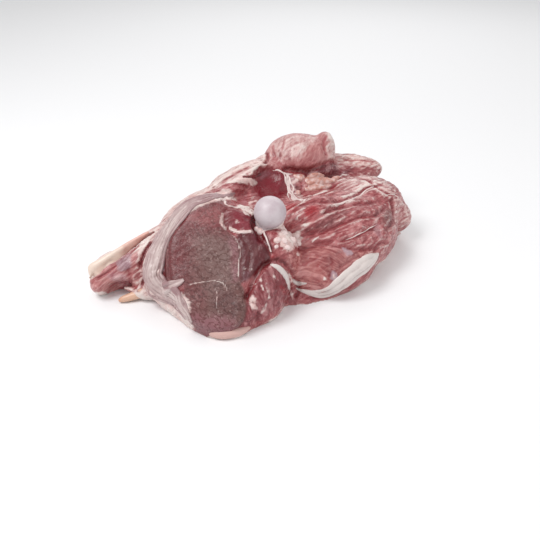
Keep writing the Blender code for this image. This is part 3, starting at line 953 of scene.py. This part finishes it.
def paint(flesh):
    """Lays the tones, fat and silverskin on the flesh, and sets the run of its fibres."""
    count = len(flesh.points)
    hidden = soft_step(0.9 - flesh.facing * 2.2 + 0.5 * flesh.middle)
    hidden = np.maximum(hidden, 1.0 - flesh.shown)
    tone = np.tile(np.array(FLESH_RED), (count, 1))
    lay(tone, COVER_PINK, hidden * (0.55 + 0.3 * flesh.broad))
    fat = hidden * (0.66 + 0.55 * flesh.broad + 0.25 * flesh.middle)
    for outline, colour, strength, soft in (*TONES, *CUT_TONES):
        share = flesh.share_in(outline, soft, 0.5 if soft < 2 else 1.0) * strength
        lay(tone, colour, share)
        fat *= 1 - share * 0.9
    fat = np.maximum(fat, strongest(flesh, FAT_AREAS, FAT_LINES))
    # painted shade along each groove, dark red, stronger where the groove is deeper
    for route, width, depth in GROOVES:
        dark = flesh.share_along(route, width * 0.30) * min(0.7, max(depth, 0) / 3.5)
        lay(tone, CREASE_SHADE_RED, dark)
        fat *= 1 - dark * 0.7
    # painted shade along the shadow strokes, and the flesh's own bright red along the blood strokes
    for strokes, colour in ((SHADOWS, CREASE_SHADE_DEEP), (BLOOD, FRESH_RED)):
        for route, width, strength in strokes:
            dark = flesh.share_along(route, width) * strength
            lay(tone, colour, dark)
            fat *= 1 - dark
    cut = flesh.share_in(CUT_FACE, 1.5, 0.5)
    cut *= 1 - 0.6 * flesh.share_in(RED_SIDE, 14)

    # dips get painted shade, stronger in green and blue than in red, and ridges hold more fat, paler, partly
    # as painted light on them
    hollow = np.clip(hollowness(flesh.data, flesh.points, 6) * 3.6, -1, 1) * (1 - 0.5 * cut)
    dip = np.clip(hollow, 0, 1)
    tone *= 1 - 0.6 * dip[:, None] * np.array((0.35, 1.0, 0.9))
    fat += 0.34 * np.clip(-hollow, 0, 1) * (1 - cut) - 0.12 * dip
    strap = [station[:2] for station in STRAP]
    fat = np.maximum(fat, 0.95 * flesh.share_along(strap, 7.5, 0.1))
    grain = 1 - 0.6 * hidden
    for outline, strength in CALM_AREAS:
        grain *= 1 - (1 - strength) * flesh.share_in(outline, 3)

    write_attribute(flesh.data, "tone", "FLOAT_COLOR", np.hstack((tone, np.ones((count, 1)))))
    write_attribute(flesh.data, "fibre", "FLOAT_VECTOR", fibre_places(flesh) * MM)
    film = strongest(flesh, FILMS)
    for name, values in (("fat", fat), ("film", film), ("cut", cut), ("grain", grain)):
        write_attribute(flesh.data, name, "FLOAT", values)


def fibre_places(flesh):
    """Coordinates that run along, across and under the fibres of each muscle."""
    def course(angle, stretch):
        along, side = turned(flesh.board, math.radians(angle))
        return np.stack((along / stretch, side, flesh.board[:, 2]), axis=1)

    places = course(*LEG_GRAIN)
    for outline, angle, stretch in GRAINS:
        inside = into_area(flesh.board[:, :2], outline) > 0
        places[inside] = course(angle, stretch)[inside]
    outline, middle, reach, stretch = FAN
    inside = into_area(flesh.board[:, :2], outline) > 0
    spread = flesh.board[:, :2] - np.array(middle)
    radius = np.linalg.norm(spread, axis=1) + 1.6 * flesh.middle + 1.2 * flesh.broad
    angle = np.arctan2(spread[:, 1], spread[:, 0])
    fan = np.stack((angle * reach / stretch, radius, flesh.board[:, 2]), axis=1)
    places[inside] = fan[inside]
    return places


class LAMB_OT_flesh(bpy.types.Operator):
    """Model the flesh with its seams, and paint its tones, fat and silverskin"""

    bl_idname = "lamb.flesh"
    bl_label = "Flesh"

    def execute(self, context):
        settings = context.scene.lamb
        mesh = bmesh.new()
        mesh.from_mesh(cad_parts["flesh"].data)
        bmesh.ops.remove_doubles(mesh, verts=mesh.verts[:], dist=0.000002)
        piece = new_piece("leg_flesh", mesh)
        reskin(piece, settings.flesh_grid / MM, 5)
        flesh = Flesh(piece)
        carve(flesh)
        write_points(flesh.data, to_world(flesh.points))
        flesh.normals = read_normals(flesh.data)
        flesh.read_board()
        paint(flesh)
        surfaces["flesh"] = Surface(piece)
        material = flesh_material(tuple(settings.fat_white), tuple(settings.fat_pink))
        finish_piece(piece, material, "raw_meat", "flesh")
        return {"FINISHED"}


# ---------------------------------------------------------------- fat, sinew and bone

def ribbon(name, parts, voxel, smoothing, wobble=0.12, spacing=1.6, ropes=()):
    """Lays folded ribbons on the flesh, each its stations and its folds; ropes are joined to them."""
    surface = flesh_surface()
    mesh = bmesh.new()
    for stations in ropes:
        rope(mesh, stations)
    lines = []
    for number, (stations, folds) in enumerate(parts):
        line = smooth_route(stations, spacing)
        ahead = np.gradient(line[:, :2], axis=0)
        side = np.stack((-ahead[:, 1], ahead[:, 0]), axis=1)
        side /= np.linalg.norm(side, axis=1)[:, None]
        lines.append(line)
        for fold, (offset, share, stand) in enumerate(folds):
            course = []
            for step, ((across, up, half), (side_x, side_y)) in enumerate(zip(line, side)):
                sway = noise.noise(Vector((step * 0.13, fold * 7.3, number * 3.1)))
                swell = noise.noise(Vector((step * 0.21, fold * 5.7, 40 + number)))
                away = half * (offset + wobble * sway)
                radius = half * share * (1 + 0.3 * swell)
                place = surface.under(across + side_x * away, up + side_y * away, radius * stand)
                place.z = max(place.z, radius)   # nothing reaches below the table
                course.append((*place, radius))
            rope(mesh, course)
    piece = new_piece(name, mesh)
    reskin(piece, voxel, smoothing)
    return piece, lines


def streak_attributes(piece, lines, tint, groove=None):
    """Stores coordinates along and across the ribbons, how tinted they are, and the painted shade of their
    folds.
    """
    points = to_table(read_points(piece.data))
    board = on_board(points)
    best = np.full(len(points), 1e9)
    places = np.zeros((len(points), 3))
    tints = np.zeros(len(points))
    grooves = np.zeros(len(points))
    for line in lines:
        away, share, side = to_route(board[:, :2], line[:, :2])
        length = np.linalg.norm(np.diff(line[:, :2], axis=0), axis=1).sum()
        half = np.interp(share, np.linspace(0, 1, len(line)), line[:, 2])
        offset = away * side / np.maximum(half, 0.3)
        nearer = away < best
        best[nearer] = away[nearer]
        own = np.stack((share * length / 16, away * side, board[:, 2] * 0.6), axis=1)
        places[nearer] = own[nearer]
        tints[nearer] = tint(share, offset)[nearer]
        if groove:
            grooves[nearer] = groove(share, offset)[nearer]
    write_attribute(piece.data, "fibre", "FLOAT_VECTOR", places * MM)
    write_attribute(piece.data, "tint", "FLOAT", tints)
    # painted shade in the folds, where the surface dips
    folds = np.clip(hollowness(piece.data, points, 8) * 3.5, 0, 1)
    write_attribute(piece.data, "groove", "FLOAT", np.maximum(grooves, folds))


class LAMB_OT_strap(bpy.types.Operator):
    """Lay the folded strap of fat round the topside, with its notch in front"""

    bl_idname = "lamb.strap"
    bl_label = "Fat strap"

    def execute(self, context):
        # a grey-pink tint, partly painted shade, strongest at the upper end and towards the edges
        def tint(share, offset):
            return 0.45 * soft_step(1.2 - share * 3) + 0.40 + 0.25 * np.abs(offset)

        # painted shadow lines along the strap: a deep one near one edge and a faint one near the middle
        def groove(share, offset):
            deep = np.exp(-((offset - 0.60) / 0.09) ** 2) * soft_step(1.6 - abs(share - 0.5) * 4)
            faint = np.exp(-((offset + 0.25) / 0.06) ** 2) * soft_step(1.6 - abs(share - 0.45) * 5)
            return deep + 0.6 * faint

        parts = ((STRAP, STRAP_FOLDS), (NOTCH, NOTCH_FOLDS), (NOTCH_SIDE, NOTCH_FOLDS))
        piece, lines = ribbon("fat_strap", parts, voxel=0.55, smoothing=1, wobble=0.22)
        streak_attributes(piece, lines, tint, groove)
        material = fat_material("strap_fat", STRAP_WHITE, STRAP_TINT_AND_SHADE, streak_scale=420)
        finish_piece(piece, material, "raw_meat")
        return {"FINISHED"}


class LAMB_OT_band(bpy.types.Operator):
    """Lay the smooth thick fat along the silverside, beside the knuckle and under the topside"""

    bl_idname = "lamb.band"
    bl_label = "Edge fat"

    def execute(self, context):
        parts = ((BAND, BAND_FOLDS), (KNEE_FAT, EDGE_FOLDS), (SHORT_FAT, EDGE_FOLDS))
        lip = smooth_route(LIP, 2.5)
        piece, lines = ribbon("fat_band", parts, voxel=0.7, smoothing=5, wobble=0.08, ropes=(lip,))
        streak_attributes(piece, lines, lambda share, offset: 0.10 + 0.25 * np.abs(offset) ** 3)
        material = fat_material("band_fat", BAND_WHITE, BAND_TINT, streak_scale=160, rough=0.34)
        finish_piece(piece, material, "raw_meat")
        return {"FINISHED"}


# Sinews and strands: (across, up, half width) at each station.
SINEWS = (
    ((50, 35, 0.4), (56, 37.5, 1.0), (61, 40, 0.7), (66, 42.5, 0.5), (71, 45.5, 0.9), (75, 49, 0.5),
     (79, 52, 1.0), (83, 56, 0.7), (90, 60, 0.4)),
    ((58, 5, 0.2), (64, 7.5, 0.45), (70, 11, 0.65), (76, 14, 0.45), (81, 17.5, 0.6), (87, 21, 0.2)),
    ((32.5, 3, 0.4), (35, 5.5, 0.8), (38.5, 8, 0.4)),
    ((29, 46.5, 0.2), (36, 49, 0.5), (44, 52, 0.4), (51, 55, 0.2)),
    ((18, -26.5, 0.5), (22, -28, 0.8), (28, -29, 0.4)),
    ((-5, 9.5, 0.6), (-3.5, 4, 1.0), (-1.5, -2, 1.0), (1, -8, 0.7)),
    ((-30.5, 9.5, 0.4), (-25, 7, 0.8), (-19, 6.5, 0.7), (-13.5, 7, 0.3)),
    ((-35, 36, 0.2), (-34, 30, 0.4), (-31, 28, 0.4), (-22, 27.5, 0.2)),
    ((100, 52, 0.3), (107, 53, 0.6), (113, 50, 0.3)),
)

SINEW_FOLD = ((0, 1.0, -0.35),)

# The torn film beside the hollow.
FILM_FOLDS = ((-0.7, 0.30, 0.1), (-0.25, 0.34, -0.3), (0.25, 0.34, -0.4), (0.7, 0.26, 0.1))
TORN_FILM = (
    ((12, 72, 1.2), (15, 67, 2.8), (17, 59, 2.7), (19, 51, 2.4), (22, 44, 2.6), (28, 38, 1.2)),
    ((2, 73, 0.4), (7, 73, 0.8), (13, 71, 1.2), (20, 71, 0.6)),
    ((17, 58, 0.8), (15, 50, 0.7), (17, 42, 0.5)),
    ((21, 46, 0.7), (28, 47, 0.6), (33, 50, 0.3)),
)


# The rim of cartilage under the ball: where it starts, its span, its distance from the ball's middle on
# the board and into it, and its radius at the ends and what is added in the middle.
RIM_START, RIM_SPAN = math.radians(205), math.radians(130)
RIM_OUT, RIM_IN = 11.6, 3.6
RIM_RADIUS, RIM_SWELL = 0.6, 1.9


def crescent():
    """The stations of the rim of cartilage that shows under the hip ball."""
    stations = []
    for share in np.linspace(0, 1, 14):
        angle = RIM_START + share * RIM_SPAN
        along = np.array((1, 0, 0)) * math.cos(angle) + BOARD_UP * math.sin(angle)
        place = np.array(BALL_PLACE) + along * RIM_OUT + BOARD_IN * RIM_IN
        stations.append((*place, RIM_RADIUS + RIM_SWELL * math.sin(share * math.pi)))
    return stations


class LAMB_OT_sinews(bpy.types.Operator):
    """Lay the white sinews and strands on the flesh"""

    bl_idname = "lamb.sinews"
    bl_label = "Sinews"

    def execute(self, context):
        parts = [(route, SINEW_FOLD) for route in SINEWS] + [(route, FILM_FOLDS) for route in TORN_FILM]
        piece, lines = ribbon(
            "sinews", parts, voxel=0.36, smoothing=1, wobble=0.9, spacing=0.8, ropes=(crescent(),),
        )
        streak_attributes(piece, lines, lambda share, offset: 0.25 + 0 * share)
        material = fat_material("sinew", SINEW_WHITE, SINEW_TINT, streak_scale=500, rough=0.32)
        finish_piece(piece, material, "raw_meat")
        return {"FINISHED"}


# Lumps of soft fat by the ball: across, up and radius.
LUMPS = (
    (10, 8, 3.2), (15, 10, 3.6), (20, 8, 3.4), (22, 3, 3.0), (17, 3, 3.6), (11, 1, 3.0), (6, 1, 3.0),
    (13, -4, 2.6), (5, -4, 2.0), (25, 68, 3.2), (28, 70, 2.6), (22, 70, 2.2), (25, 54, 2.8),
)

# Loose folds of fatty meat behind the film: (across, up, radius) at each station.
LOOSE_FOLDS = (
    ((30, 57, 1.5), (36, 59, 3.2), (43, 60, 3.6), (50, 61, 2.6), (54, 63, 1.2)),
    ((32, 62, 1.8), (37, 65, 3.6), (43, 67, 4.2), (50, 68, 3.6), (57, 67, 1.6)),
    ((31, 64, 1.4), (34, 69, 2.6), (41, 72, 2.8), (48, 72, 1.4)),
    ((52, 66, 1.6), (57, 70, 2.6), (62, 72, 1.4)),
)


# Rings of fat lumps round the neck of the bone: middle, reach on each axis, first and last angle and
# step in degrees, radius of a lump, how much it varies and how quickly.
COLLARS = (
    ((-2, -48, 60), (9.6, 9.312, 2.4), (0, 360, 24), 2.6, 0.7, 3.3),
    ((-3, -48, 52), (12.5, 11.5, 0), (10, 180, 20), 3.6, 0.8, 4.1),
)
LUMP_SHAPE = (1.25, 0.95, 0.8, 1)


def add_lump(mesh, place, radius, shape):
    """Adds a round lump at a place in the tables, squashed and turned by a matrix."""
    middle = Matrix.Translation(Vector(to_world(np.array(place))))
    bmesh.ops.create_icosphere(mesh, subdivisions=3, radius=radius * MM, matrix=middle @ shape)


def add_collar(mesh, middle, reach, degrees, radius, variation, pace):
    """Adds one ring of lumps."""
    for angle in np.radians(np.arange(*degrees)):
        turn = np.array((math.cos(angle), math.sin(angle), math.sin(angle)))
        place = np.array(middle) + turn * np.array(reach)
        add_lump(mesh, place, radius + variation * math.sin(pace * angle), Matrix())


class LAMB_OT_lumps(bpy.types.Operator):
    """Set the soft lumps of fat round the hip ball"""

    bl_idname = "lamb.lumps"
    bl_label = "Fat lumps"

    def execute(self, context):
        surface = flesh_surface()
        mesh = bmesh.new()
        for number, (across, up, radius) in enumerate(LUMPS):
            turn = Matrix.Rotation(number * 1.7, 4, "Z") @ Matrix.Rotation(number * 0.9, 4, "X")
            place = surface.under(across, up, -radius * 0.45)
            add_lump(mesh, place, radius, turn @ Matrix.Diagonal(LUMP_SHAPE))
        for collar in COLLARS:
            add_collar(mesh, *collar)
        for route in LOOSE_FOLDS:
            rope(mesh, [
                (*surface.under(across, up, -radius * 0.4), radius)
                for across, up, radius in smooth_route(route, 1.6)
            ])
        piece = new_piece("fat_lumps", mesh)
        reskin(piece, 0.5, 2)
        points = to_table(read_points(piece.data))
        bumps = grain_noise(points, 2.4, 8) + 0.2 * grain_noise(points, 1.0, 9)
        normals = read_normals(piece.data)
        write_points(piece.data, to_world(points + normals * (0.42 * bumps)[:, None]))
        upward = soft_step((on_board(points)[:, 1] - 40) / 15)
        write_attribute(piece.data, "fibre", "FLOAT_VECTOR", points * MM)
        write_attribute(piece.data, "tint", "FLOAT", 0.30 + 0.32 * upward + 0.3 * bumps)
        # painted shade in the folds between the lumps
        folds = np.clip(hollowness(piece.data, points, 6) * 2.5, 0, 1)
        write_attribute(piece.data, "groove", "FLOAT", folds)
        material = fat_material("soft_fat", SOFT_WHITE, SOFT_TINT, streak_scale=260, rough=0.3)
        finish_piece(piece, material, "raw_meat")
        return {"FINISHED"}


# The neck of the thigh bone: its way from the middle of the ball, its radius and how far it flares.
NECK_WAY = Vector((-5, 9, -34))
NECK_RADIUS, NECK_FLARE = 9.4, 3.2


class LAMB_OT_bone(bpy.types.Operator):
    """Model the head and neck of the thigh bone"""

    bl_idname = "lamb.bone"
    bl_label = "Hip ball"

    def execute(self, context):
        mesh = bmesh.new()
        bmesh.ops.create_icosphere(
            mesh, subdivisions=5, radius=BALL_RADIUS * MM, matrix=Matrix.Translation(BALL_MIDDLE),
        )
        rope(mesh, [
            (*(BALL_PLACE + NECK_WAY * share), NECK_RADIUS + NECK_FLARE * share ** 2)
            for share in np.linspace(0.1, 1, 8)
        ], sides=24)
        piece = new_piece("hip_ball", mesh)
        reskin(piece, 0.6, 4)
        points = to_table(read_points(piece.data))
        ripple = grain_noise(points, 9, 4)
        normals = read_normals(piece.data)
        write_points(piece.data, to_world(points + normals * (0.12 * ripple)[:, None]))
        finish_piece(piece, bone_material(), "bone", "thigh_bone")
        return {"FINISHED"}


# The heel tendon: across, up, half width, with a broad rounded end at the tip of the shank.
HEEL = (
    (-144, -23.5, 2.0), (-143, -22, 5.2), (-139.5, -19, 7.0), (-134, -14.5, 6.2), (-127, -9.3, 5.2),
    (-119, -2.6, 4.3), (-111, 4.0, 3.3), (-103, 9.4, 2.4), (-97, 14, 1.2),
)
HEEL_FOLDS = ((-0.38, 0.62, -0.2), (0.0, 0.66, -0.2), (0.38, 0.60, -0.2))

# The tag of fat below the shank: middle and radius at each station, in the tables' millimetres.
TAG = (
    (-98, -62, 7, 4.2), (-105, -63.5, 5.2, 3.8), (-111, -65.5, 4.0, 3.2), (-116, -67, 3.2, 2.6),
    (-119, -68, 2.4, 1.2),
)


class LAMB_OT_tendon(bpy.types.Operator):
    """Model the heel tendon along the shank and the tag of fat below it"""

    bl_idname = "lamb.tendon"
    bl_label = "Heel tendon"

    def execute(self, context):
        parts = ((HEEL, HEEL_FOLDS),)
        piece, lines = ribbon("heel_tendon_piece", parts, voxel=0.75, smoothing=8, wobble=0.04)
        streak_attributes(piece, lines, lambda share, offset: 0.15 + 0.5 * soft_step(share * 2 - 0.6))
        material = fat_material("tendon", TENDON_WHITE, TENDON_TINT, streak_scale=160, rough=0.3)
        finish_piece(piece, material, "tendon", "heel_tendon")

        tag, _ = ribbon("shank_tag", (), voxel=0.6, smoothing=3, ropes=(smooth_route(TAG, 1.6),))
        plan = np.array(TAG)[:, [0, 1, 3]]   # near enough to its course on the board to tint its tip
        streak_attributes(tag, [plan], lambda share, offset: share)
        finish_piece(tag, fat_material("tag_fat", TAG_CREAM, TAG_ORANGE, rough=0.32), "raw_meat")
        return {"FINISHED"}


# ---------------------------------------------------------------- stage

CAMERA_PLACE = (0, -480, 302)   # in the tables' millimetres
CAMERA_TILT = 33.3              # degrees below level
CAMERA_LENS = 43.13
FLOOR_REACH = 3

# Lamps: name, place and size in metres, and power as a share of the key light's.
LAMPS = (
    ("key", (-0.45, -0.25, 0.85), 0.45, 1.0),
    ("fill", (0.75, -0.45, 0.55), 0.9, 0.35),
    ("back", (0.15, 0.9, 0.7), 0.8, 0.4),
)


class LAMB_OT_stage(bpy.types.Operator):
    """Set the pale floor, the soft lights and the camera"""

    bl_idname = "lamb.stage"
    bl_label = "Stage"

    def execute(self, context):
        scene = context.scene
        mesh = bmesh.new()
        bmesh.ops.create_grid(mesh, x_segments=1, y_segments=1, size=FLOOR_REACH)
        floor = new_piece("floor", mesh)
        shader = Shader("floor")
        floor.data.materials.append(shader.finish(base_color=FLOOR_GREY, roughness=0.7))

        world = bpy.data.worlds.new("studio")
        world.use_nodes = True
        sky = world.node_tree.nodes["Background"].inputs
        sky["Color"].default_value = (1, 1, 1, 1)
        sky["Strength"].default_value = scene.lamb.sky_light
        scene.world = world
        for name, place, size, share in LAMPS:
            light = bpy.data.lights.new(name, "AREA")
            light.energy = scene.lamb.key_light * share
            light.size = size
            lamp = bpy.data.objects.new(name, light)
            lamp.location = place
            lamp.rotation_euler = (-lamp.location).to_track_quat("-Z", "Y").to_euler()
            scene.collection.objects.link(lamp)

        camera = bpy.data.objects.new("camera", bpy.data.cameras.new("camera"))
        camera.data.lens = CAMERA_LENS
        camera.data.clip_start = 0.01
        camera.location = to_world(np.array(CAMERA_PLACE))
        camera.rotation_euler = (math.radians(90 - CAMERA_TILT), 0, 0)
        scene.collection.objects.link(camera)
        scene.camera = camera
        scene.view_settings.view_transform = "Standard"
        return {"FINISHED"}


# ---------------------------------------------------------------- add-on

class LambSettings(bpy.types.PropertyGroup):
    """What a user would change about the leg."""

    flesh_grid: bpy.props.FloatProperty(
        name="Flesh grid", description="Size of the faces of the flesh", default=0.0012, unit="LENGTH",
        precision=5,
    )
    fat_white: bpy.props.FloatVectorProperty(
        name="Fat", description="Colour of thick fat", subtype="COLOR", default=linear(222, 208, 202),
    )
    fat_pink: bpy.props.FloatVectorProperty(
        name="Thin fat", description="Colour of fat where flesh shows through it", subtype="COLOR",
        default=linear(208, 160, 156),
    )
    key_light: bpy.props.FloatProperty(
        name="Key light", description="Power of the main light", default=5.4, unit="POWER",
    )
    sky_light: bpy.props.FloatProperty(
        name="Sky light", description="Strength of the even light from all round", default=0.66,
    )


STEPS = (
    LAMB_OT_stage, LAMB_OT_flesh, LAMB_OT_bone, LAMB_OT_tendon, LAMB_OT_strap, LAMB_OT_band,
    LAMB_OT_sinews, LAMB_OT_lumps,
)


class LAMB_PT_panel(bpy.types.Panel):
    """Lists the steps that build the leg"""

    bl_label = "Leg of Lamb"
    bl_idname = "LAMB_PT_panel"
    bl_space_type = "VIEW_3D"
    bl_region_type = "UI"
    bl_category = "Lamb"

    def draw(self, context):
        for name in LambSettings.__annotations__:
            self.layout.prop(context.scene.lamb, name)
        for step in STEPS:
            self.layout.operator(step.bl_idname)


CLASSES = (LambSettings, *STEPS, LAMB_PT_panel)


def register():
    for entry in CLASSES:
        bpy.utils.register_class(entry)
    bpy.types.Scene.lamb = bpy.props.PointerProperty(type=LambSettings)


def unregister():
    del bpy.types.Scene.lamb
    for entry in reversed(CLASSES):
        bpy.utils.unregister_class(entry)


def main():
    register()
    for step in STEPS:
        getattr(bpy.ops.lamb, step.bl_idname.split(".")[1])()


if __name__ == "__main__":
    main()
